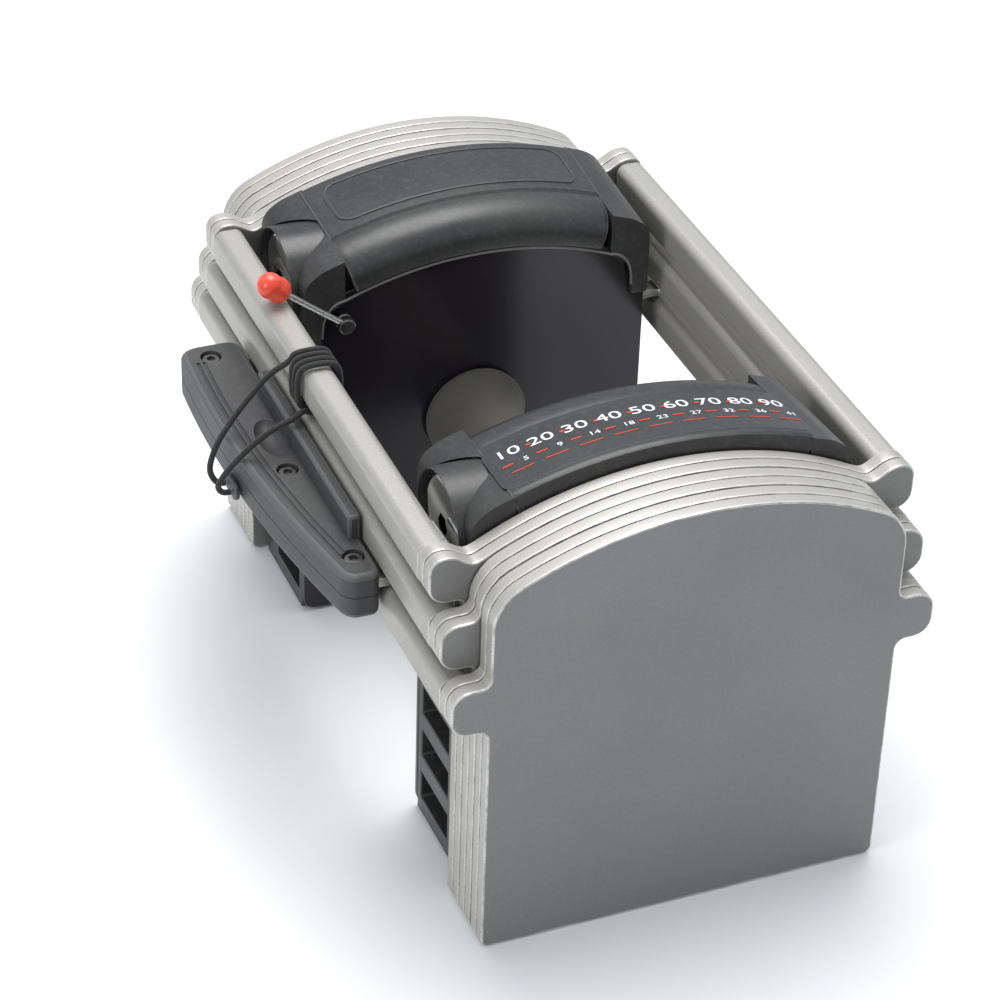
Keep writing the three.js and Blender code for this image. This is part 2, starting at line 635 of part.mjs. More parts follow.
// ---- Adder lock ----
const LEVER_X = -58;
const LEVER_Z = 141;
const PIVOT_Y0 = PANEL_Y - 9;
const BALL_AT = new THREE.Vector3(-89, PANEL_Y - 11, 166.2);
const leverPivot = turnedAlongY([
  [0, PIVOT_Y0],
  [3.5, PIVOT_Y0],
  [3.5, PANEL_Y - SEAT],
  [0, PANEL_Y - SEAT],
], 20).translate(LEVER_X, 0, LEVER_Z);
add('lever_pivot', leverPivot, STEEL);

// A straight round bar from one point to another.
function rod(from, to, diameter, sides) {
  const section = new THREE.Shape();
  section.absarc(0, 0, diameter / 2, 0, 2 * Math.PI, false);
  const path = new THREE.LineCurve3(from, to);
  return new THREE.ExtrudeGeometry(section, { steps: 1, curveSegments: sides / 2, bevelEnabled: false, extrudePath: path });
}
const pivotAt = new THREE.Vector3(LEVER_X, PIVOT_Y0 + 2.5, LEVER_Z);
const leverRun = BALL_AT.clone().sub(pivotAt);
const leverLen = leverRun.length();
const leverDir = leverRun.clone().normalize();
const wireFrom = pivotAt.clone().addScaledVector(leverDir, 3.5 + SEAT + 0.9);
const BALL_HALF = 7;
const wireTo = pivotAt.clone().addScaledVector(leverDir, leverLen - BALL_HALF - SEAT);
add('lever_wire', rod(wireFrom, wireTo, LEVER_WIRE_D, 12), STEEL);

const ball = new THREE.LatheGeometry([
  [0, -BALL_HALF], [3.2, -BALL_HALF + 0.8], [4.7, -BALL_HALF + 2.4], [BALL_R, -1.2], [BALL_R - 0.2, 1.2],
  [4.7, BALL_HALF - 2.4], [3.2, BALL_HALF - 0.8], [0, BALL_HALF],
].map(([r, h]) => new THREE.Vector2(r, h)), 20);
const turnToWire = new THREE.Quaternion().setFromUnitVectors(new THREE.Vector3(0, 1, 0), leverDir);
ball.applyQuaternion(turnToWire);
ball.translate(BALL_AT.x, BALL_AT.y, BALL_AT.z);
add('lever_ball', ball, BALL_RED);

// A bent wire across the mouth of the front channel keeps its adder weight in.
const CLIP_D = 2.2;
const clipX = -CHANNEL_MOUTH - CLIP_D / 2 - 0.6;
const clipPoints = [
  [clipX, -CHANNEL_Y + 1, CHANNEL_Z + 1],
  [clipX, -CHANNEL_Y - 12, CHANNEL_Z + 1],
  [clipX, -CORE_END + 1, CHANNEL_Z + 1],
].map((p) => new THREE.Vector3(...p));
const clipSection = new THREE.Shape();
clipSection.absarc(0, 0, CLIP_D / 2, 0, 2 * Math.PI, false);
add('front_clip_wire', new THREE.ExtrudeGeometry(clipSection, {
  steps: 12, curveSegments: 5, bevelEnabled: false, extrudePath: new THREE.CatmullRomCurve3(clipPoints),
}), STEEL);

export default group;
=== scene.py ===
# %% [markdown]
# # An adjustable dumbbell of nested weights
# Three steel frames of different length sit inside one another round a black core with a hand grip. A
# pin with two prongs slides in from the side, under the rails of the second weight, and picks how many
# weights come up with the core. A red knob on a wire holds the small add-on cylinders in the core.
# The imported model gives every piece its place; this script gives each one its finished shape and surface.

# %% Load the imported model
import json
import math
import bmesh
import bpy
from mathutils import Matrix, Vector
from mathutils.kdtree import KDTree

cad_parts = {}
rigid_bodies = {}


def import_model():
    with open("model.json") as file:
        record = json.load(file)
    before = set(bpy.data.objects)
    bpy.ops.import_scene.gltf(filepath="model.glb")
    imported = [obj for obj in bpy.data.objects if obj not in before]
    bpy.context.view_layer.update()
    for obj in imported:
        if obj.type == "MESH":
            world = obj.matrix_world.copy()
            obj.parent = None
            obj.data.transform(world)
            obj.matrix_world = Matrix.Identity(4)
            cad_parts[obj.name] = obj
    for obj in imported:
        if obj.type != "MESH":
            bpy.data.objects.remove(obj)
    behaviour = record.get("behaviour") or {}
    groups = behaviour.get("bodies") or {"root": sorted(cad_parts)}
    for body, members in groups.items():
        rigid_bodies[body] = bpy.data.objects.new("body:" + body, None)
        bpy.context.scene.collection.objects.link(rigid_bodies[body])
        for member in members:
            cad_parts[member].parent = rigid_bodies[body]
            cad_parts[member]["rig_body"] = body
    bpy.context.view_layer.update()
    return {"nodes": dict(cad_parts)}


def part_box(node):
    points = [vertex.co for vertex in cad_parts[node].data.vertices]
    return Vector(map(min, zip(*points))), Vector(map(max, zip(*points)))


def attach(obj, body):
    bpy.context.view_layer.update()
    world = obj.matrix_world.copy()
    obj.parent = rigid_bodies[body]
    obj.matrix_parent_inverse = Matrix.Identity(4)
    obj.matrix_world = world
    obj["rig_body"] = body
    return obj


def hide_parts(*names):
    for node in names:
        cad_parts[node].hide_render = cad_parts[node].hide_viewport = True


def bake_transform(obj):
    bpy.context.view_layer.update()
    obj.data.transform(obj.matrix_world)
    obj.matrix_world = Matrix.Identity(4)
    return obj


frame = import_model()
nodes = frame["nodes"]
MM = 0.001
GRIP_X = 14.65      # the grip's axis, in millimetres: the pin makes the block wider on its left

# %% [markdown]
# ## Camera
# A long lens flattens a product only a little, so the block is seen from about 1.3 m, high on its left,
# where the laminated end, the rails, the pin and the scale all show. The camera is turned to the block
# by a track quaternion, then rolled a degree or two about its own axis, as a camera in the hand is.

# %% Camera
camera_data = bpy.data.cameras.new("camera")
camera_data.lens = 116
camera = bpy.data.objects.new("camera", camera_data)
camera.location = (-0.4066, -0.9663, 0.8002)
aim = Vector((0.0, 0.0, 0.086))
ROLL = math.radians(2.0)
towards = (aim - camera.location).to_track_quat("-Z", "Y").to_matrix()
camera.rotation_mode = "QUATERNION"
camera.rotation_quaternion = (towards @ Matrix.Rotation(ROLL, 3, "Z")).to_quaternion()
bpy.context.scene.collection.objects.link(camera)
bpy.context.scene.camera = camera
print("camera", round((aim - camera.location).length, 3), "m away")

# %% [markdown]
# ## Light and floor
# A product table is lit by large soft sources, because black plastic and coated steel show their shape
# mostly through the reflections of those sources. One wide lamp hangs above and behind the block and draws
# the long highlight on the arched bars, a second fills from the left, and the world is a pale sky that is
# brighter overhead than at the horizon, so that upward edges come out lighter than upright faces.

# %% Light and floor
def lamp(name, place, size, power):
    data = bpy.data.lights.new(name, "AREA")
    data.shape, data.size, data.energy = "DISK", size, power
    light = bpy.data.objects.new(name, data)
    light.location = place
    light.rotation_mode = "QUATERNION"
    light.rotation_quaternion = (aim - light.location).to_track_quat("-Z", "Y")
    bpy.context.scene.collection.objects.link(light)


lamp("overhead", Vector((0.15, 0.35, 1.5)), 1.1, 21)
lamp("left_fill", Vector((-1.5, -0.5, 0.9)), 0.9, 8)
world = bpy.data.worlds.new("pale_room")
world.use_nodes = True
sky = world.node_tree
background = sky.nodes["Background"]
where = sky.nodes.new("ShaderNodeTexCoord")
height = sky.nodes.new("ShaderNodeSeparateXYZ")
brightness = sky.nodes.new("ShaderNodeMapRange")
sky.links.new(where.outputs["Generated"], height.inputs[0])
sky.links.new(height.outputs["Z"], brightness.inputs["Value"])
brightness.inputs["From Min"].default_value = -0.1
brightness.inputs["To Min"].default_value = 0.4
brightness.inputs["To Max"].default_value = 0.82
sky.links.new(brightness.outputs[0], background.inputs["Strength"])
background.inputs["Color"].default_value = (0.93, 0.96, 1.0, 1)
bpy.context.scene.world = world
bpy.context.scene.view_settings.view_transform = "Standard"

floor_bm = bmesh.new()
bmesh.ops.create_grid(floor_bm, x_segments=1, y_segments=1, size=8)
floor_mesh = bpy.data.meshes.new("floor")
floor_bm.to_mesh(floor_mesh)
floor_bm.free()
floor = bpy.data.objects.new("floor", floor_mesh)
floor.location.z = -0.0004
bpy.context.scene.collection.objects.link(floor)
floor_finish = bpy.data.materials.new("floor_pale")
floor_finish.use_nodes = True
floor_shader = floor_finish.node_tree.nodes["Principled BSDF"]
floor_shader.inputs["Base Color"].default_value = (0.86, 0.87, 0.88, 1)
floor_shader.inputs["Roughness"].default_value = 0.6
floor_mesh.materials.append(floor_finish)
print("lamps and floor made")

# %% [markdown]
# ## Words for making a finish
# Every finish here is one Principled shader fed by a few noises. A small class keeps the node wiring short:
# it reads Object coordinates, so the grain has one scale all over the block, and it has a word each for a
# noise, a spread of values, a mix of two colours and a bump. Values that don't vary go on the shader itself.

# %% Words for making a finish
class Finish:
    def __init__(self, name, **sockets):
        self.material = bpy.data.materials.new(name)
        self.material.use_nodes = True
        self.tree = self.material.node_tree
        self.shader = self.tree.nodes["Principled BSDF"]
        self.where = self.tree.nodes.new("ShaderNodeTexCoord")
        for socket, value in sockets.items():
            self.shader.inputs[socket.replace("_", " ")].default_value = value

    def node(self, kind, **inputs):
        made = self.tree.nodes.new(kind)
        for socket, value in inputs.items():
            self.feed(value, made.inputs[socket.replace("_", " ")])
        return made

    def feed(self, value, socket):
        if isinstance(value, bpy.types.NodeSocket):
            self.tree.links.new(value, socket)
        else:
            socket.default_value = value

    def stretched(self, scale):
        mapping = self.node("ShaderNodeMapping", Vector=self.where.outputs["Object"], Scale=scale)
        return mapping.outputs[0]

    def noise(self, scale, detail=3.0, roughness=0.5, vector=None):
        vector = vector or self.where.outputs["Object"]
        return self.node("ShaderNodeTexNoise", Vector=vector, Scale=scale, Detail=detail,
                         Roughness=roughness).outputs["Fac"]

    def spread(self, value, low, high, start=0.3, end=0.7):
        made = self.node("ShaderNodeMapRange", Value=value)
        for socket, number in (("From Min", start), ("From Max", end), ("To Min", low), ("To Max", high)):
            made.inputs[socket].default_value = number
        return made.outputs[0]

    def mix(self, factor, low, high):
        made = self.tree.nodes.new("ShaderNodeMix")
        made.data_type = "RGBA"
        self.feed(factor, made.inputs[0])
        self.feed(low, made.inputs[6])
        self.feed(high, made.inputs[7])
        return made.outputs[2]

    def times(self, first, second):
        made = self.tree.nodes.new("ShaderNodeMath")
        made.operation = "MULTIPLY"
        self.feed(first, made.inputs[0])
        self.feed(second, made.inputs[1])
        return made.outputs[0]

    def worn(self):
        made = self.tree.nodes.new("ShaderNodeAttribute")
        made.attribute_name = "worn"
        return made.outputs["Fac"]

    def bump(self, value, strength, depth):
        made = self.node("ShaderNodeBump", Height=value, Strength=strength, Distance=depth)
        self.feed(made.outputs[0], self.shader.inputs["Normal"])

    def set(self, socket, value):
        self.feed(value, self.shader.inputs[socket])


# %% [markdown]
# ## Coated steel
# The plates and rails carry a thin warm-grey coat. Flat faces are even and satin. Every edge is a little
# brighter, where the coat thins over the corner and rubs through to steel as the weights slide past one
# another, so the finish reads an attribute called worn that the models mark on their rounded edges. The
# plates' rims are also coloured lighter than their faces, told apart by the object normal: partly barer
# metal on the rims and partly a painted highlight for the light that falls on them from above.

# %% Coated steel
def coated_steel(name, face, rim_bare_and_lit, bare, flecks):
    steel = Finish(name, Metallic=0.35, Specular_IOR_Level=0.5)
    clouds = steel.noise(14, 4, 0.6)
    speckle = steel.noise(900, 2, 0.7)
    turned = steel.node("ShaderNodeSeparateXYZ", Vector=steel.where.outputs["Normal"])
    upright = steel.tree.nodes.new("ShaderNodeMath")
    upright.operation = "ABSOLUTE"
    steel.feed(turned.outputs["Y"], upright.inputs[0])
    # Rims, whose normal lies across Y, take the rim colour: partly barer metal, partly a painted highlight from
    # above.
    face_against_lit_rim = steel.spread(upright.outputs[0], 0.0, 1.0, 0.45, 0.9)
    base_with_lit_rims = steel.mix(face_against_lit_rim, rim_bare_and_lit, face)
    dulled = [c * 0.86 for c in face[:3]] + [1]
    clouded = steel.mix(steel.spread(clouds, 0.0, 0.35), base_with_lit_rims, dulled)
    flecked = steel.mix(steel.spread(speckle, 0.0, flecks, 0.45, 0.75), clouded, bare)
    rubbed = steel.times(steel.worn(), steel.spread(steel.noise(160, 4, 0.65), 0.2, 0.9, 0.35, 0.6))
    steel.set("Base Color", steel.mix(rubbed, flecked, bare))
    steel.set("Roughness", steel.mix(rubbed, steel.spread(clouds, 0.36, 0.5), (0.24, 0.24, 0.24, 1)))
    steel.bump(steel.noise(1300, 2, 0.6), 0.12, 0.00025)
    return steel.material


# The second colour is for the rims, a painted highlight over barer metal; on the rails it is nearly the face
# colour.
plate_coat = coated_steel("plate_coat", (0.21, 0.21, 0.205, 1), (0.5, 0.485, 0.45, 1), (0.66, 0.65, 0.62, 1), 0.05)
rail_coat = coated_steel("rail_coat", (0.4, 0.39, 0.36, 1), (0.4, 0.39, 0.355, 1), (0.62, 0.61, 0.58, 1), 0.25)
print("coated steel ready")

# %% [markdown]
# ## Black mouldings
# The core, the pin and the panels come from moulds with different textures. The bars and columns have a
# fine satin grain, the pin's grip a coarser one, and the panels are polished. A moulding is never one
# black: it picks up a faint grey bloom in patches, and its rounded edges are paler, partly from handling
# wear and partly as a painted highlight along them.

# %% Black mouldings
def moulding(name, black, grey, smooth, rough, grain, depth, edge_wear_and_highlight=0.5, dusting=0.25):
    plastic = Finish(name, Specular_IOR_Level=0.5)
    patches = plastic.noise(22, 4, 0.6)
    dust = plastic.noise(420, 3, 0.7)
    tone = plastic.mix(plastic.spread(patches, 0.0, 0.8), black, grey)
    dusty = plastic.mix(plastic.spread(dust, 0.0, dusting, 0.5, 0.8), tone, (0.16, 0.155, 0.15, 1))
    # Rounded edges go paler: partly handling wear, partly a painted highlight that makes them read against the
    # black.
    worn_and_lit_edges = plastic.times(plastic.worn(), edge_wear_and_highlight)
    plastic.set("Base Color", plastic.mix(worn_and_lit_edges, dusty, (0.14, 0.14, 0.138, 1)))
    plastic.set("Roughness", plastic.spread(patches, smooth, rough))
    plastic.bump(plastic.noise(grain, 3, 0.6), 0.25, depth)
    return plastic.material


core_plastic = moulding("core_plastic", (0.026, 0.026, 0.027, 1), (0.042, 0.042, 0.041, 1), 0.3, 0.42, 1500, 0.0002)
pin_plastic = moulding("pin_plastic", (0.04, 0.04, 0.042, 1), (0.06, 0.06, 0.06, 1), 0.5, 0.62, 1100, 0.0004)
panel_gloss = moulding("panel_gloss", (0.012, 0.010, 0.013, 1), (0.016, 0.013, 0.016, 1), 0.15, 0.19, 60, 0.00002,
                       edge_wear_and_highlight=0.3, dusting=0.02)
print("mouldings ready")

# %% [markdown]
# ## Rubber, metals, red knob, print and cord
# The grip is a soft olive-grey rubber with a powdery surface, so it has a little sheen and a pebbled bump.
# Zinc, chrome and the red knob differ mostly in roughness. The print is two flat inks. The cord is a
# braid, drawn by crossed bands that run along and round it on its own UV map.

# %% Rubber, metals, red knob, print and cord
rubber = Finish("grip_rubber", Specular_IOR_Level=0.35, Sheen_Weight=0.15, Sheen_Roughness=0.5)
hands = rubber.noise(30, 4, 0.6)
rubber.set("Base Color", rubber.mix(rubber.spread(hands, 0, 1), (0.066, 0.063, 0.05, 1), (0.098, 0.093, 0.076, 1)))
rubber.set("Roughness", rubber.spread(hands, 0.62, 0.78))
rubber.bump(rubber.noise(1400, 2, 0.5), 0.5, 0.0004)
grip_rubber = rubber.material


def bright_metal(name, color, smooth, rough, streaks):
    metal = Finish(name, Metallic=1.0)
    drawn = metal.noise(1.0, 4, 0.6, metal.stretched(streaks))
    stain = metal.noise(40, 3, 0.6)
    darker = [c * 0.8 for c in color[:3]] + [1]
    metal.set("Base Color", metal.mix(metal.spread(stain, 0, 0.6), color, darker))
    metal.set("Roughness", metal.spread(drawn, smooth, rough))
    metal.bump(drawn, 0.08, 0.0002)
    return metal.material


zinc = bright_metal("zinc_steel", (0.68, 0.68, 0.66, 1), 0.22, 0.38, (120, 900, 900))
chrome = bright_metal("adder_chrome", (0.86, 0.87, 0.88, 1), 0.05, 0.12, (60, 600, 600))

knob = Finish("red_knob", Specular_IOR_Level=0.5, Coat_Weight=0.3, Coat_Roughness=0.15)
scuffs = knob.noise(240, 4, 0.7)
knob.set("Base Color", knob.mix(knob.spread(scuffs, 0, 0.8, 0.45, 0.7),
                                (0.72, 0.055, 0.025, 1), (0.86, 0.16, 0.09, 1)))
knob.set("Roughness", knob.spread(scuffs, 0.28, 0.45))
knob.bump(knob.noise(700, 2, 0.5), 0.15, 0.0002)
red_knob = knob.material


def ink(name, color, faded):
    print_ink = Finish(name, Roughness=0.45)
    flaws = print_ink.noise(1500, 3, 0.7)
    print_ink.set("Base Color", print_ink.mix(print_ink.spread(flaws, 0, 1, 0.55, 0.75), color, faded))
    return print_ink.material


white_ink = ink("white_ink", (0.82, 0.82, 0.82, 1), (0.5, 0.5, 0.5, 1))
red_ink = ink("red_ink", (0.62, 0.05, 0.03, 1), (0.3, 0.04, 0.03, 1))

braid = Finish("cord_braid", Specular_IOR_Level=0.3, Sheen_Weight=0.25, Sheen_Roughness=0.4)
strands = []
for turn in (0.8, -0.8):
    mapping = braid.node("ShaderNodeMapping", Vector=braid.where.outputs["UV"], Scale=(4, 420, 1))
    mapping.inputs["Rotation"].default_value[2] = turn
    band = braid.node("ShaderNodeTexWave", Vector=mapping.outputs[0], Scale=1.0)
    strands.append(band.outputs["Fac"])
weave = braid.times(strands[0], strands[1])
braid.set("Base Color", braid.mix(braid.spread(weave, 0, 1, 0.0, 0.6),
                                  (0.018, 0.018, 0.018, 1), (0.05, 0.05, 0.048, 1)))
braid.set("Roughness", braid.spread(braid.noise(300), 0.7, 0.85))
braid.bump(weave, 0.5, 0.0003)
cord_braid = braid.material
print("all finishes ready")

# %% [markdown]
# ## The lanyard
# One thin braided cord ties the pin to the core, so that it isn't lost. It leaves a small eyelet on the
# pin, climbs over weight 1's rail, winds round it and comes back down to the same eyelet. The route is a
# handful of points at each end and turns worked out in a loop, run through a smooth curve with a round
# bevel.

# %% The lanyard
CORD = 2.4
RAIL_AT = (-88, 151)
WOUND_WIDTH, WOUND_HEIGHT = 12 / 2 + CORD / 2 + 0.8, 15.5 / 2 + CORD / 2 + 0.8
TURNS, TURN_PITCH, FIRST_ANGLE = 3.8, 3.6, 0.86 * math.pi
going_up = [(-124.0, 10.2, 112.0), (-127.0, 10.6, 112.6), (-129.2, 12.4, 117.0), (-126.5, 15.0, 124.5),
            (-119.5, 17.5, 133.5), (-111.0, 18.6, 143.0), (-103.0, 18.4, 151.5)]
coming_down = [(-99.5, 1.6, 141.0), (-105.0, 0.5, 139.9), (-112.5, 0.4, 136.0), (-120.0, 1.0, 129.5),
               (-127.0, 2.0, 121.0), (-129.0, 3.0, 115.5), (-126.8, 3.6, 112.4), (-124.0, 3.8, 112.0)]
wound = []
count = round(TURNS * 12)
for i in range(count + 1):
    angle = FIRST_ANGLE - TURNS * 2 * math.pi * i / count
    c, n = math.cos(angle), math.sin(angle)
    wound.append((RAIL_AT[0] + WOUND_WIDTH * math.copysign(abs(c) ** 0.5, c), 16.5 - TURN_PITCH * TURNS * i / count,
                  RAIL_AT[1] + WOUND_HEIGHT * math.copysign(abs(n) ** 0.5, n)))


# A centripetal Catmull-Rom curve through the points, in metres, in steps of just under a millimetre.
def smooth_route(points):
    points = [Vector(((x + GRIP_X) * MM, y * MM, z * MM)) for x, y, z in points]
    ends = [2 * points[0] - points[1], *points, 2 * points[-1] - points[-2]]
    route = [points[0]]
    for p0, p1, p2, p3 in zip(ends, ends[1:], ends[2:], ends[3:]):
        t1 = (p1 - p0).length ** 0.5
        t2 = t1 + (p2 - p1).length ** 0.5
        t3 = t2 + (p3 - p2).length ** 0.5
        steps = max(2, round((p2 - p1).length / 0.0009))
        for i in range(1, steps + 1):
            t = t1 + (t2 - t1) * i / steps
            a1 = p0 * ((t1 - t) / t1) + p1 * (t / t1)
            a2 = p1 * ((t2 - t) / (t2 - t1)) + p2 * ((t - t1) / (t2 - t1))
            a3 = p2 * ((t3 - t) / (t3 - t2)) + p3 * ((t - t2) / (t3 - t2))
            b1 = a1 * ((t2 - t) / t2) + a2 * (t / t2)
            b2 = a2 * ((t3 - t) / (t3 - t1)) + a3 * ((t - t1) / (t3 - t1))
            route.append(b1 * ((t2 - t) / (t2 - t1)) + b2 * ((t - t1) / (t2 - t1)))
    return route


def length_of(route):
    return sum((b - a).length for a, b in zip(route, route[1:]))


# A round tube along a route, as a mesh. Only the lanyard's tube gets a UV map, from lay_map below.
def tube(name, route, radius, sides=12):
    curve = bpy.data.curves.new(name, "CURVE")
    curve.dimensions = "3D"
    curve.bevel_depth, curve.bevel_resolution, curve.use_fill_caps = radius, sides // 4, True
    spline = curve.splines.new("POLY")
    spline.points.add(len(route) - 1)
    for point, at in zip(spline.points, route):
        point.co = (*at, 1)
    shape = bpy.data.objects.new(name, curve)
    bpy.context.scene.collection.objects.link(shape)
    bpy.context.view_layer.update()
    mesh = bpy.data.meshes.new_from_object(shape.evaluated_get(bpy.context.evaluated_depsgraph_get()))
    bpy.data.objects.remove(shape)
    bpy.data.curves.remove(curve)
    bm = bmesh.new()
    bm.from_mesh(mesh)
    bpy.data.meshes.remove(mesh)
    bmesh.ops.remove_doubles(bm, verts=bm.verts, dist=1e-7)
    bmesh.ops.recalc_face_normals(bm, faces=bm.faces)
    return bm


cord_route = smooth_route([*going_up, *wound, *coming_down])
print("lanyard", round(length_of(cord_route) * 1000), "mm along its middle")

# %% [markdown]
# ## Words for making a piece
# A finished mesh goes into an object at the origin that rides on its body, and takes its place from its
# vertices. Rounded edges are cut with bevel, and the faces that bevel makes are marked as worn, corner by
# corner, so the mark doesn't spread over the flat faces beside them. Weighted normals keep the flats flat.

# %% Words for making a piece
def mark_worn(bm, faces):
    layer = bm.loops.layers.float.get("worn") or bm.loops.layers.float.new("worn")
    for face in faces:
        for loop in face.loops:
            loop[layer] = 1.0


def corners(bm, angle=40):
    return [e for e in bm.edges if len(e.link_faces) == 2 and e.calc_face_angle(0.0) > math.radians(angle)]


def soften(bm, edges, width, segments=2, clamp=True):
    bm.loops.layers.float.get("worn") or bm.loops.layers.float.new("worn")
    made = bmesh.ops.bevel(bm, geom=edges, offset=width, offset_type="OFFSET", segments=segments, profile=0.5,
                           affect="EDGES", material=-1, clamp_overlap=clamp)
    mark_worn(bm, made["faces"])


def finish_piece(name, bm, material, body, sharp=40, even=True):
    assert bm.faces, name + " has no faces"
    mesh = bpy.data.meshes.new(name)
    bm.loops.layers.float.get("worn") or bm.loops.layers.float.new("worn")
    bm.to_mesh(mesh)
    bm.free()
    mesh.materials.append(material)
    mesh.shade_smooth()
    mesh.set_sharp_from_angle(angle=math.radians(sharp))
    piece = bpy.data.objects.new(name, mesh)
    bpy.context.scene.collection.objects.link(piece)
    if even:
        weighted = piece.modifiers.new("even shading", "WEIGHTED_NORMAL")
        weighted.keep_sharp = True
    if body:
        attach(piece, body)
    return piece


def body_of(node):
    return nodes[node]["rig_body"]


# A copy of a node's mesh with its loose triangles joined, flat faces made whole and its edges rounded.
def softened_copy(node, width, segments=2, angle=40):
    bm = bmesh.new()
    bm.from_mesh(nodes[node].data)
    bmesh.ops.remove_doubles(bm, verts=bm.verts, dist=2e-6)
    bmesh.ops.dissolve_limit(bm, angle_limit=math.radians(0.5), verts=bm.verts, edges=bm.edges)
    soften(bm, corners(bm, angle), width, segments)
    return bm


def stand_for(node, bm, material, sharp=40, name=None):
    piece = finish_piece(name or node + "_look", bm, material, body_of(node), sharp)
    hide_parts(node)
    return piece


# Lays a UV map on a tube: u goes once round it and v runs along it, in metres.
def lay_map(bm, route):
    layer = bm.loops.layers.uv.get("UVMap") or bm.loops.layers.uv.new("UVMap")
    along = [0.0]
    tree = KDTree(len(route))
    for i, place in enumerate(route):
        tree.insert(place, i)
        if i:
            along.append(along[-1] + (place - route[i - 1]).length)
    tree.balance()
    for face in bm.faces:
        nearest = tree.find(face.calc_center_median())[1]
        for loop in face.loops:
            i = min(max(tree.find(loop.vert.co)[1], nearest - 3, 0), nearest + 3, len(route) - 2)
            forward = (route[i + 1] - route[i]).normalized()
            steep = abs(forward.z) > 0.98
            side = (forward.orthogonal() if steep else forward.cross(Vector((0, 0, 1)))).normalized()
            out = loop.vert.co - route[i]
            turn = math.atan2(out.dot(forward.cross(side)), out.dot(side)) / (2 * math.pi)
            loop[layer].uv = (turn, along[i] + out.dot(forward))
        turns = [loop[layer].uv.x for loop in face.loops]
        if max(turns) - min(turns) > 0.5:
            for loop in face.loops:
                loop[layer].uv.x += loop[layer].uv.x < 0


cord_bm = tube("lanyard", cord_route, CORD / 2 * MM)
lay_map(cord_bm, cord_route)
cord_piece = finish_piece("lanyard", cord_bm, cord_braid, None, 80, False)
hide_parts("lanyard_cord")
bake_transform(cord_piece)
print("lanyard has", len(cord_piece.data.polygons), "faces")

# %% [markdown]
# ## Steel plates
# Each weight is a pair of thick plates at either end. A plate has upright sides, a shallow arch on top and
# an ear at each side, where the rail is welded on. It could be a curve with an extrusion; here a polygon
# of its few corners has each one rounded by a vertex bevel, its top edge is subdivided and lifted onto the
# arch, and the face is drawn out to the plate's thickness, so the corner sizes stay readable numbers.

# %% Steel plates
ARCH_RADIUS, ARCH_CENTRE = 155, 176 - 155


def arch(x):
    return ARCH_CENTRE + math.sqrt(ARCH_RADIUS ** 2 - x ** 2)


# A flat face from corners of (x, across, rounding), in millimetres: upright in the XZ plane, or lying down.
def rounded_face(bm, outline, level, segments=5, lying=False):
    verts = [bm.verts.new(((x + GRIP_X) * MM, a * MM, level) if lying else ((x + GRIP_X) * MM, level, a * MM))
             for x, a, _ in outline]
    face = bm.faces.new(verts)
    for vert, (_, _, rounding) in zip(verts, outline):
        if rounding:
            bmesh.ops.bevel(bm, geom=[vert], offset=rounding * MM, offset_type="OFFSET", segments=segments,
                            profile=0.5, affect="VERTICES", material=-1)
    return face


def draw_out(bm, dy=0.0, dz=0.0):
    made = bmesh.ops.extrude_face_region(bm, geom=bm.faces[:])
    bmesh.ops.translate(bm, verts=[v for v in made["geom"] if isinstance(v, bmesh.types.BMVert)], vec=(0, dy, dz))
    bmesh.ops.recalc_face_normals(bm, faces=bm.faces)


def both_sides(half):
    return half + [(-x, z, r) for x, z, r in reversed(half)]


def plate(node, weight):
    low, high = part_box(node)
    rail_low, rail_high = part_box(f"weight{weight}_rail_right")
    ear = (rail_low.z + rail_high.z) / 2 / MM
    side = [(94, ear - 9.5, 7), (80, ear - 9.5, 4), (80, 0, 3)]
    if weight == 1:
        reach = 77
        half = [(reach, arch(reach), 3.5), (85, ear + 9.5, 2.5), (94, ear + 9.5, 5.5), *side]
    else:
        reach = 79.5
        half = [(reach, arch(reach), 9.5), (reach, ear + 9.5, 3.5), (94, ear + 9.5, 7), *side]
    bm = bmesh.new()
    rounded_face(bm, both_sides(half), low.y)
    top = max(bm.edges, key=lambda e: (e.verts[0].co.z + e.verts[1].co.z) * (e.calc_length() > 0.1))
    bmesh.ops.subdivide_edges(bm, edges=[top], cuts=39)
    for vert in bm.verts:
        x = vert.co.x / MM - GRIP_X
        if abs(x) < reach and vert.co.z > (arch(reach) - 12) * MM:
            vert.co.z += (arch(x) - arch(reach)) * MM
    draw_out(bm, high.y - low.y)
    soften(bm, corners(bm, 60), 0.8 * MM, 2, clamp=False)
    return stand_for(node, bm, plate_coat)


for weight in (1, 2, 3):
    for end in ("front", "rear"):
        for layer in ("outer", "inner"):
            made = plate(f"weight{weight}_plate_{end}_{layer}", weight)
print("plates made; the last has", len(made.data.polygons), "faces")

# %% [markdown]
# ## Rails
# The rails are solid bars with generous corners. A cube is scaled to the rail's box, its four long edges
# are bevelled to the corner radius, and its ends get a small chamfer where they meet the plates.

# %% Rails
def bar_of(low, high):
    bm = bmesh.new()
    bmesh.ops.create_cube(bm, size=1)
    bmesh.ops.scale(bm, verts=bm.verts, vec=high - low)
    bmesh.ops.translate(bm, verts=bm.verts, vec=(low + high) / 2)
    return bm


for weight in (1, 2, 3):
    for side in ("left", "right"):
        node = f"weight{weight}_rail_{side}"
        bm = bar_of(*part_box(node))
        long_edges = [e for e in bm.edges if abs((e.verts[0].co - e.verts[1].co).y) > 0.1]
        bmesh.ops.bevel(bm, geom=long_edges, offset=4 * MM, offset_type="OFFSET", segments=6, profile=0.5,
                        affect="EDGES", material=-1)
        soften(bm, corners(bm, 60), 0.4 * MM, 1)
        stand_for(node, bm, rail_coat)
print("rails made")

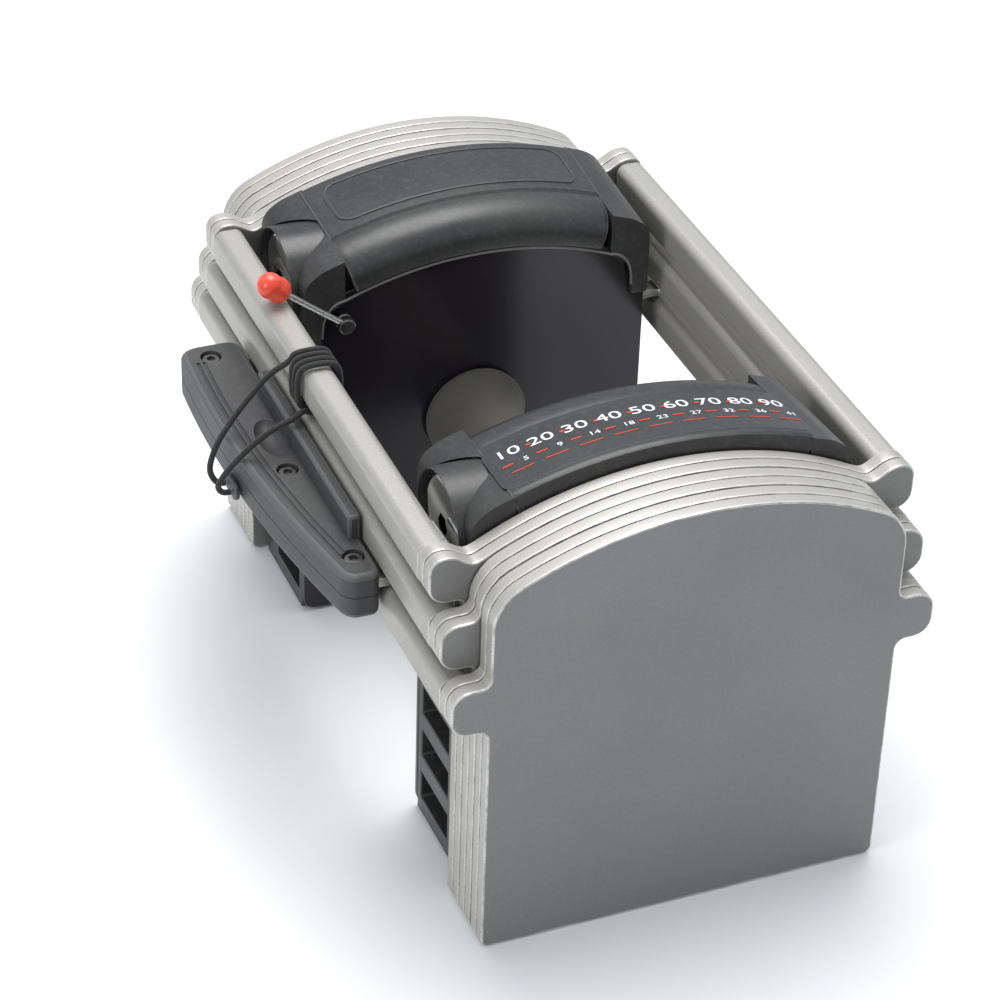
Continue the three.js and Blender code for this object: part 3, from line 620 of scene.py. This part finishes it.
# %% [markdown]
# ## Arched bars
# Each end of the core is capped by a thick arched bar. Its top falls a little towards the hand space, then
# steps down into a soft roll. The section is the same all along the arch, so the section is drawn once as a loop of edges and spun about the arch's
# centre. Shoulder blocks close its ends and come down as short legs. The left one is bored for the socket
# of an add-on cylinder, with a boolean.

# %% Arched bars
BAR_TOP, BAR_DROP, BAR_REACH = 182, 15, 71
BAR_RADIUS = (BAR_REACH ** 2 + BAR_DROP ** 2) / (2 * BAR_DROP)
BAR_CENTRE = BAR_TOP - BAR_RADIUS
SPUN_REACH = 59
BAR_INNER, BAR_OUTER = 62, 116
STEP_AT, ROLL_DEPTH, ROLL_DROP = 77, 15, 11.5


# The top of a bar falls away towards the grip.
def slope(depth):
    return 0.2 + max(0, BAR_OUTER - 3 - depth) * 0.09


# The bar's section as (distance from the middle of the grip, drop below the arch).
def bar_section():
    section = [(BAR_OUTER, 21), (BAR_OUTER, 2.2), (BAR_OUTER - 0.5, 1.0), (BAR_OUTER - 1.6, 0.4)]
    section += [(depth, slope(depth)) for depth in (BAR_OUTER - 3, 81, 80)]
    section += [(79, slope(79) + 0.9), (STEP_AT, slope(STEP_AT) + 0.5)]
    for i in range(1, 13):
        angle = math.pi / 2 * i / 12
        section.append((BAR_INNER + ROLL_DEPTH * (1 - math.sin(angle)),
                        slope(STEP_AT) + 0.5 + ROLL_DROP * (1 - math.cos(angle))))
    section += [(BAR_INNER, 18.4), (BAR_INNER + 0.6, 20), (BAR_INNER + 2, 20.8), (BAR_INNER + 4, 21)]
    return section


def bake(piece):
    bpy.context.view_layer.update()
    mesh = bpy.data.meshes.new_from_object(piece.evaluated_get(bpy.context.evaluated_depsgraph_get()))
    piece.modifiers.clear()
    piece.data = mesh


def loose(name, bm):
    mesh = bpy.data.meshes.new(name)
    bm.to_mesh(mesh)
    bm.free()
    piece = bpy.data.objects.new(name, mesh)
    bpy.context.scene.collection.objects.link(piece)
    return piece


def carved(bm, cutters):
    piece = loose("being_carved", bm)
    tools = [loose(f"cutter_{i}", cutter) for i, cutter in enumerate(cutters)]
    for tool in tools:
        cut = piece.modifiers.new("cut", "BOOLEAN")
        cut.operation, cut.solver, cut.object = "DIFFERENCE", "EXACT", tool
    bake(piece)
    result = bmesh.new()
    result.from_mesh(piece.data)
    for gone in (piece, *tools):
        bpy.data.objects.remove(gone)
    return result


# A closed round bar along an axis ("X" or "Y" or "Z") between two places, in millimetres of the model.
def round_bar(axis, start, end, radius, at, sides=64):
    bm = bmesh.new()
    bmesh.ops.create_cone(bm, cap_ends=True, segments=sides, radius1=radius * MM, radius2=radius * MM,
                          depth=(end - start) * MM)
    turn = {"X": Matrix.Rotation(math.pi / 2, 3, "Y"), "Y": Matrix.Rotation(math.pi / 2, 3, "X"),
            "Z": Matrix.Identity(3)}[axis]
    bmesh.ops.rotate(bm, verts=bm.verts, cent=(0, 0, 0), matrix=turn)
    middle = {"X": ((start + end) / 2, *at), "Y": (at[0], (start + end) / 2, at[1]),
              "Z": (*at, (start + end) / 2)}[axis]
    bmesh.ops.translate(bm, verts=bm.verts, vec=Vector(middle) * MM + Vector((GRIP_X * MM, 0, 0)))
    return bm


SOCKET_DEPTH, SOCKET_HEIGHT, SOCKET_RADIUS = 91.1, 147.5, 22.2
HAND_FACE = 63.4
SHOULDER = [(57, 149.5, 1), (57, 171.9, 0), (67, 168.5, 3), (74, 163, 4), (74, 129, 1), (67, 129, 1), (67, 142, 4)]


def arched_bar(end):
    s = -1 if end == "front" else 1
    bm = bmesh.new()
    centre = Vector((GRIP_X * MM, 0, BAR_CENTRE * MM))
    half_angle = math.asin(SPUN_REACH / BAR_RADIUS)
    start = Matrix.Rotation(-half_angle, 3, "Y")
    ring = [bm.verts.new(centre + start @ Vector((0, s * depth * MM, (BAR_RADIUS - drop) * MM)))
            for depth, drop in bar_section()]
    edges = [bm.edges.new(pair) for pair in zip(ring, ring[1:] + ring[:1])]
    bmesh.ops.spin(bm, geom=[*ring, *edges], cent=centre, axis=(0, 1, 0), angle=2 * half_angle, steps=36,
                   use_merge=False, use_duplicate=False, dvec=(0, 0, 0))
    bmesh.ops.holes_fill(bm, edges=[e for e in bm.edges if e.is_boundary])
    bmesh.ops.recalc_face_normals(bm, faces=bm.faces)
    soften(bm, [e for e in corners(bm, 60) if abs(abs(sum(v.co.x for v in e.verts) / 2 / MM - GRIP_X) - 55) < 6],
           0.8 * MM, 2, clamp=False)
    arch_mesh = bpy.data.meshes.new("arch")
    bm.to_mesh(arch_mesh)
    bm.free()
    whole = bmesh.new()
    whole.from_mesh(arch_mesh)
    bpy.data.meshes.remove(arch_mesh)
    for side in (-1, 1):
        block = bmesh.new()
        near, far = sorted((s * HAND_FACE, s * BAR_OUTER))
        rounded_face(block, [(side * x, z, r) for x, z, r in SHOULDER], near * MM)
        draw_out(block, (far - near) * MM)
        for vert in block.verts:
            if vert.co.z > 152 * MM:
                vert.co.z -= slope(abs(vert.co.y) / MM) * MM
        inner = [e for e in corners(block, 60)
                 if all(abs(v.co.y / MM - s * HAND_FACE) < 0.1 for v in e.verts)
                 and min(v.co.z for v in e.verts) > 0.15]
        soften(block, inner, 5.5 * MM, 4, clamp=True)
        soften(block, [e for e in corners(block, 60)], 0.7 * MM, 2, clamp=True)
        if side < 0:
            block = carved(block, [round_bar("X", -90, -50, SOCKET_RADIUS, (s * SOCKET_DEPTH, SOCKET_HEIGHT))])
        block_mesh = bpy.data.meshes.new("block")
        block.to_mesh(block_mesh)
        block.free()
        whole.from_mesh(block_mesh)
        bpy.data.meshes.remove(block_mesh)
    return stand_for(f"core_bar_{end}", whole, core_plastic, 35)


for end in ("front", "rear"):
    made = arched_bar(end)
    print("bar", end, len(made.data.polygons), "faces")

# %% [markdown]
# ## Columns, panels and end plates
# These mouldings are flat plates and ladders, so a copy of each node with its edges rounded is already the
# real shape. The ladders' rungs catch light on their edges, which is what shows beside the plates.

# %% Columns, panels and end plates
for end in ("front", "rear"):
    for side in ("left", "right"):
        stand_for(f"core_column_{end}_{side}", softened_copy(f"core_column_{end}_{side}", 0.8 * MM), core_plastic)
    stand_for(f"core_panel_{end}", softened_copy(f"core_panel_{end}", 0.5 * MM), panel_gloss)
    stand_for(f"core_end_plate_{end}", softened_copy(f"core_end_plate_{end}", 0.5 * MM), core_plastic)
print("mouldings made")

# %% [markdown]
# ## Turned pieces
# The sockets, the add-on cylinders, the grip and the tube in it are all round. Each is a profile of radius
# and place along its axis, spun once round Z by the spin operator with its ends merged, then turned and
# moved to its axis. A hexagon socket is cut into each end of an add-on cylinder with a six-sided cutter.

# %% Turned pieces
def turned(profile, steps=64):
    bm = bmesh.new()
    verts = [bm.verts.new((radius * MM, 0, along * MM)) for radius, along in profile]
    edges = [bm.edges.new(pair) for pair in zip(verts, verts[1:])]
    bmesh.ops.spin(bm, geom=[*verts, *edges], cent=(0, 0, 0), axis=(0, 0, 1), angle=2 * math.pi, steps=steps,
                   use_merge=True, use_duplicate=False, dvec=(0, 0, 0))
    bmesh.ops.remove_doubles(bm, verts=bm.verts, dist=1e-7)
    bmesh.ops.recalc_face_normals(bm, faces=bm.faces)
    return bm


def laid_along(bm, direction, at):
    turn = Vector((0, 0, 1)).rotation_difference(Vector(direction)).to_matrix()
    bmesh.ops.rotate(bm, verts=bm.verts, cent=(0, 0, 0), matrix=turn)
    x, y, z = at
    bmesh.ops.translate(bm, verts=bm.verts, vec=((x + GRIP_X) * MM, y * MM, z * MM))
    return bm


CAP, WAIST, SOCKET_MOUTH, SOCKET_END = 20.25, 18.25, -76.5, 63.5
ADDER_FAR = SOCKET_END - 2.3
ADDER_NEAR = ADDER_FAR - 136
for end, s in (("front", -1), ("rear", 1)):
    at = (0, s * SOCKET_DEPTH, SOCKET_HEIGHT)
    socket = turned([(0, 61.5), (17.5, 61.5), (20.5, 58.8), (20.5, SOCKET_MOUTH + 0.6),
                     (20.7, SOCKET_MOUTH + 0.1), (21.1, SOCKET_MOUTH), (21.4, SOCKET_MOUTH + 0.4), (21.4, 56),
                     (18.5, SOCKET_END - 0.3), (18, SOCKET_END), (0, SOCKET_END)])
    stand_for(f"adder_channel_{end}", laid_along(socket, (1, 0, 0), at), core_plastic, 50)
    half = [(WAIST, ADDER_NEAR + 10), (WAIST + 0.4, ADDER_NEAR + 9), (CAP - 0.3, ADDER_NEAR + 7.2),
            (CAP, ADDER_NEAR + 6.4), (CAP, ADDER_NEAR + 3.2), (CAP - 0.6, ADDER_NEAR + 1.6), (CAP - 2.2, ADDER_NEAR + 0.5),
            (CAP - 4, ADDER_NEAR), (0, ADDER_NEAR)]
    other = [(radius, ADDER_NEAR + ADDER_FAR - along) for radius, along in reversed(half)]
    cylinder = laid_along(turned([*other, *half]), (1, 0, 0), at)
    hexagons = [round_bar("X", x - 7, x + 7, 4.5, at[1:], 6) for x in (ADDER_NEAR, ADDER_FAR)]
    stand_for(f"adder_weight_{end}", carved(cylinder, hexagons), chrome, 40)

GRIP_HALF = 65.7
profile = [(11.4, -GRIP_HALF), (20.4, -GRIP_HALF), (21.3, -GRIP_HALF + 0.6), (21.5, -GRIP_HALF + 1.6),
           (21.4, -GRIP_HALF + 3.2), (20.6, -GRIP_HALF + 4.0)]
for i in range(49):
    t = -1 + 2 * i / 48
    along = t * (GRIP_HALF - 4.4)
    profile.append((15.6 + 1.0 * math.cos(t * math.pi / 2) ** 2 + 4.4 * abs(t) ** 7, along))
profile += [(20.6, GRIP_HALF - 4.0), (21.4, GRIP_HALF - 3.2), (21.5, GRIP_HALF - 1.6), (21.3, GRIP_HALF - 0.6),
            (20.4, GRIP_HALF), (11.4, GRIP_HALF), (11.4, -GRIP_HALF)]
grip = laid_along(turned(profile), (0, 1, 0), (0, 0, 84))
stand_for("hand_grip", grip, grip_rubber, 50)
core_tube = laid_along(turned([(8, -113), (11, -113), (11, 113), (8, 113), (8, -113)], 48), (0, 1, 0), (0, 0, 84))
stand_for("handle_tube", core_tube, zinc)
print("turned pieces made")

# %% [markdown]
# ## Selector pin
# The pin's body is two bowed shells screwed together round a steel fork. Each starts as a rounded rectangle
# that lies flat, its long edges are subdivided, every point is pushed out by the bow and by the slant that
# makes the rear end wider, and the face is drawn up to its thickness. The screw pockets, the thumb hollow and two long grooves are cut
# out with booleans, because they are what the light picks out on a piece this dark.

# %% Selector pin
PIN_INNER, PIN_SIDE, PIN_BOW, PIN_SLANT, PIN_REACH = 95, 114, 6.2, 0.065, 85
PIN_LOW, PIN_SPLIT, PIN_HIGH = 108.5, 118.1, 127.5


def bowed(x, y):
    outward = PIN_BOW * (1 - (y / PIN_REACH) ** 2) + PIN_SLANT * y
    return x - outward * (-PIN_INNER - x) / (PIN_SIDE - PIN_INNER)


def pin_half(level, rise):
    bm = bmesh.new()
    outline = [(-PIN_INNER, -PIN_REACH, 5), (-PIN_INNER, PIN_REACH, 5),
               (-PIN_SIDE, PIN_REACH, 6), (-PIN_SIDE, -PIN_REACH, 6)]
    rounded_face(bm, outline, level * MM, 6, lying=True)
    long_edges = [e for e in bm.edges if e.calc_length() > 0.1]
    bmesh.ops.subdivide_edges(bm, edges=long_edges, cuts=23)
    for vert in bm.verts:
        vert.co.x = (bowed(vert.co.x / MM - GRIP_X, vert.co.y / MM) + GRIP_X) * MM
    draw_out(bm, dz=rise * MM)
    return bm


def rim_at(bm, z):
    return [e for e in corners(bm, 60) if all(abs(v.co.z / MM - z) < 0.05 for v in e.verts)]


def ball_of(radius, scale, at):
    bm = bmesh.new()
    bmesh.ops.create_uvsphere(bm, u_segments=40, v_segments=24, radius=radius * MM)
    bmesh.ops.scale(bm, verts=bm.verts, vec=scale)
    bmesh.ops.translate(bm, verts=bm.verts, vec=((at[0] + GRIP_X) * MM, at[1] * MM, at[2] * MM))
    return bm


def groove(inset, reach, z, radius):
    route = []
    for i in range(33):
        y = reach * (-1 + i / 16)
        route.append(((bowed(-PIN_SIDE, y) + inset + GRIP_X) * MM, y * MM, z * MM))
    return tube("groove", [Vector(p) for p in route], radius * MM, 8)


SCREWS = ((-101.5, -72), (-106, -11), (-109, 75))
upper = pin_half(PIN_SPLIT, PIN_HIGH - PIN_SPLIT)
soften(upper, rim_at(upper, PIN_HIGH), 2.2 * MM, 4, clamp=False)
cutters = [round_bar("Z", PIN_HIGH - 2.6, PIN_HIGH + 3, 4.3, at, 40) for at in SCREWS]
cutters += [ball_of(1, (6.5, 14, 6), (-104.5, 11, PIN_HIGH + 1.5))]
cutters += [groove(5.2, 72, PIN_HIGH, 0.7), groove(7.6, 72, PIN_HIGH, 0.7)]
upper = carved(upper, cutters)
ridge = bar_of(Vector(((-100 + GRIP_X) * MM, -62 * MM, 126 * MM)),
               Vector(((-95 + GRIP_X) * MM, 44 * MM, 137.4 * MM)))
soften(ridge, ridge.edges[:], 1.4 * MM, 3)
ridge_mesh = bpy.data.meshes.new("ridge")
ridge.to_mesh(ridge_mesh)
ridge.free()
upper.from_mesh(ridge_mesh)
stand_for("pin_shell_upper", upper, pin_plastic, 35)
lower = pin_half(PIN_LOW, PIN_SPLIT - 0.35 - PIN_LOW)
soften(lower, rim_at(lower, PIN_LOW), 2.2 * MM, 4, clamp=False)
stand_for("pin_shell_lower", lower, pin_plastic, 35)
stand_for("pin_fork", softened_copy("pin_fork", 0.7 * MM), zinc)
stand_for("lanyard_eyelet", softened_copy("lanyard_eyelet", 0.6 * MM), pin_plastic)

blackened = bright_metal("blackened_steel", (0.2, 0.2, 0.2, 1), 0.25, 0.4, (300, 300, 300))
for i, at in enumerate(SCREWS):
    head = round_bar("Z", PIN_HIGH - 2.7, PIN_HIGH - 0.9, 3.7, at, 40)
    soften(head, rim_at(head, PIN_HIGH - 0.9), 0.7 * MM, 3)
    head = carved(head, [round_bar("Z", PIN_HIGH - 2.2, PIN_HIGH + 1, 1.9, at, 6)])
    stand_for(f"pin_screw_{i + 1}", head, blackened, 35)
print("pin made")

# %% [markdown]
# ## Lock lever and clip wire
# The knob that holds the add-on cylinders is a small waisted capsule on a springy wire, hinged beside the
# rear panel. A short straight wire crosses the mouth of the front socket. Wires are tubes along a route.

# %% Lock lever and clip wire
pivot = Vector((-58, 59.6, 141))
knob_at = Vector((-89, 55.1, 166.2))
arm = (knob_at - pivot).normalized()
capsule = [(0, -7), (2.2, -6.7), (3.8, -5.8), (4.8, -4.4), (5.25, -2.8), (5.2, -1.2), (4.95, 0), (5.2, 1.2), (5.25, 2.8),
           (4.8, 4.4), (3.8, 5.8), (2.2, 6.7), (0, 7)]
stand_for("lever_ball", laid_along(turned(capsule, 40), arm, knob_at), red_knob, 60)
wire_route = [pivot + arm * 3.2, pivot + arm * 8, knob_at - arm * 6.9]
wire = tube("wire", [Vector(((p.x + GRIP_X) * MM, p.y * MM, p.z * MM)) for p in wire_route], 1.3 * MM, 16)
stand_for("lever_wire", wire, zinc, 60)
hub = turned([(0, -4.2), (2.9, -4.2), (3.4, -3.8), (3.4, -0.6), (2.7, 0), (3.4, 0.6), (3.4, 3.8), (2.9, 4.2),
              (0, 4.2)], 40)
stand_for("lever_pivot", laid_along(hub, (0, 1, 0), (-58, 61.4, 141)), blackened, 35)
clip_low, clip_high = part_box("front_clip_wire")
clip_mid = (clip_low + clip_high) / 2
clip_ends = [Vector((clip_mid.x, y, clip_mid.z)) for y in (clip_low.y, clip_high.y)]
clip = tube("clip", clip_ends, 1.1 * MM, 16)
stand_for("front_clip_wire", clip, zinc, 60)
print("lever and clip made")

# %% [markdown]
# ## Scale and panel on the bars
# The front bar carries a printed film with the weight that each setting lifts, in pounds and, smaller, in
# kilograms. The rear bar has a blank outlined panel. All of it is made flat; the film and the panel are
# sliced with bisect so that they can bend, and then everything is wrapped onto the bar's arch. Figures
# start as text and are made a mesh before that.

# %% Scale and panel on the bars
def wrapped(bm, lift):
    for vert in bm.verts:
        angle = (vert.co.x / MM - GRIP_X) / BAR_RADIUS
        radius = BAR_RADIUS + lift + vert.co.z / MM - slope(abs(vert.co.y) / MM)
        vert.co.x = (GRIP_X + radius * math.sin(angle)) * MM
        vert.co.z = (BAR_CENTRE + radius * math.cos(angle)) * MM
    bmesh.ops.recalc_face_normals(bm, faces=bm.faces)
    return bm


def sliced(bm, reach, every=3):
    x = -reach + every
    while x < reach:
        bmesh.ops.bisect_plane(bm, geom=[*bm.verts, *bm.edges, *bm.faces], plane_co=((x + GRIP_X) * MM, 0, 0),
                               plane_no=(1, 0, 0), dist=1e-7)
        x += every


def label(reach, near, far, rounding, thickness, frame_width=None):
    bm = bmesh.new()
    rounded_face(bm, [(-reach, near, rounding), (reach, near, rounding),
                      (reach, far, rounding), (-reach, far, rounding)],
                 0, 6, lying=True)
    if frame_width:
        bmesh.ops.inset_individual(bm, faces=bm.faces[:], thickness=frame_width * MM)
        widest = max(bm.faces, key=lambda f: f.calc_area())
        bmesh.ops.delete(bm, geom=[widest], context="FACES_ONLY")
    sliced(bm, reach)
    draw_out(bm, dz=thickness * MM)
    soften(bm, [e for e in rim_at(bm, thickness)], min(0.25, thickness / 2.5) * MM, 2, clamp=False)
    return bm


film = moulding("scale_film", (0.03, 0.03, 0.031, 1), (0.045, 0.045, 0.045, 1), 0.2, 0.32, 800, 0.0001)
stand_for("scale_strip", wrapped(label(61, -112, -83, 5, 0.35), -0.2), film, 35)
stand_for("plain_strip", wrapped(label(53, 84.5, 111, 7, 0.75, 1.3), -0.2), core_plastic, 35)
field = wrapped(label(51.6, 85.9, 109.6, 5.7, 0.3), -0.18)
finish_piece("plain_field", field, film, "lifted_core", 35)


def figures(text, x, y, tall, wide):
    words = bpy.data.curves.new("figures", "FONT")
    words.body, words.align_x, words.align_y, words.size, words.extrude = text, "CENTER", "CENTER", 1.0, 0.03
    words.resolution_u = 4
    shape = bpy.data.objects.new("figures", words)
    bpy.context.scene.collection.objects.link(shape)
    bpy.context.view_layer.update()
    mesh = bpy.data.meshes.new_from_object(shape.evaluated_get(bpy.context.evaluated_depsgraph_get()))
    bpy.data.objects.remove(shape)
    bm = bmesh.new()
    bm.from_mesh(mesh)
    bpy.data.meshes.remove(mesh)
    bmesh.ops.remove_doubles(bm, verts=bm.verts, dist=1e-5)
    size = tall * 1.38 * MM
    bmesh.ops.scale(bm, verts=bm.verts, vec=(size * wide, size, 3 * MM))
    bmesh.ops.translate(bm, verts=bm.verts, vec=((x + GRIP_X) * MM, y * MM, 0))
    return bm


def gathered(parts):
    whole = bmesh.new()
    for part in parts:
        mesh = bpy.data.meshes.new("part")
        part.to_mesh(mesh)
        part.free()
        whole.from_mesh(mesh)
        bpy.data.meshes.remove(mesh)
    return whole


def tick(x0, x1, y0, y1):
    return bar_of(Vector(((x0 + GRIP_X) * MM, y0 * MM, -0.09 * MM)),
                  Vector(((x1 + GRIP_X) * MM, y1 * MM, 0.09 * MM)))


settings = list(range(10, 100, 10))
places = [-52 + 13.3 * i for i in range(len(settings))]
pounds = gathered([figures(str(n), x, -90.5, 5.2, 1.45) for n, x in zip(settings, places)])
kilos = gathered([figures(str(round(n * 0.4536)), x + 4.6, -98.2, 2.5, 1.35) for n, x in zip(settings, places)])
ticks = gathered([tick(x - 4.6, x - 0.4, -98.3, -97.6) for x in places]
                 + [tick(x + 7.4, x + 9.2, -91.2, -90.2) for x in places[:-1]]
                 + [tick(x - 3, x + 6, -103.4, -102.9) for x in places])
for name, bm, colour in (("scale_pounds", pounds, white_ink), ("scale_kilos", kilos, white_ink),
                         ("scale_ticks", ticks, red_ink)):
    finish_piece(name, wrapped(bm, 0.22), colour, "lifted_core", 40, False)
print("scale made:", settings)

# %% [markdown]
# ## Bead under each bar
# A thin bead finishes the lower edge of each bar where it meets the polished panel. Its glossy surface is
# coloured a pale grey, a painted highlight that draws it as one fine curved line. It is a tube along the
# arch, down into the corners and along the legs.

# %% Bead under each bar
def bead_route(s):
    points = []
    for x0, z0, x1, z1, x2, z2 in ((-66.6, 134, -66.6, 148.6, -57, 149.6), (-57, 149.6, -30, 160.6, 0, 160.6),
                                   (0, 160.6, 30, 160.6, 57, 149.6), (57, 149.6, 66.6, 148.6, 66.6, 134)):
        for i in range(16):
            t = i / 16
            points.append(((1 - t) ** 2 * x0 + 2 * t * (1 - t) * x1 + t * t * x2,
                           (1 - t) ** 2 * z0 + 2 * t * (1 - t) * z1 + t * t * z2))
    points.append((66.6, 134))
    return [Vector(((x + GRIP_X) * MM, s * 63.2 * MM, z * MM)) for x, z in points]


# Pale grey rather than black: a painted highlight along the bead.
bead_painted_highlight = moulding("bead_painted_highlight", (0.16, 0.155, 0.15, 1), (0.2, 0.19, 0.18, 1), 0.15, 0.25, 60, 0.0001)
for end, s in (("front", -1), ("rear", 1)):
    bead = tube("bead", bead_route(s), 0.55 * MM, 12)
    finish_piece(f"bar_bead_{end}", bead, bead_painted_highlight, "lifted_core", 60)
print("beads made")
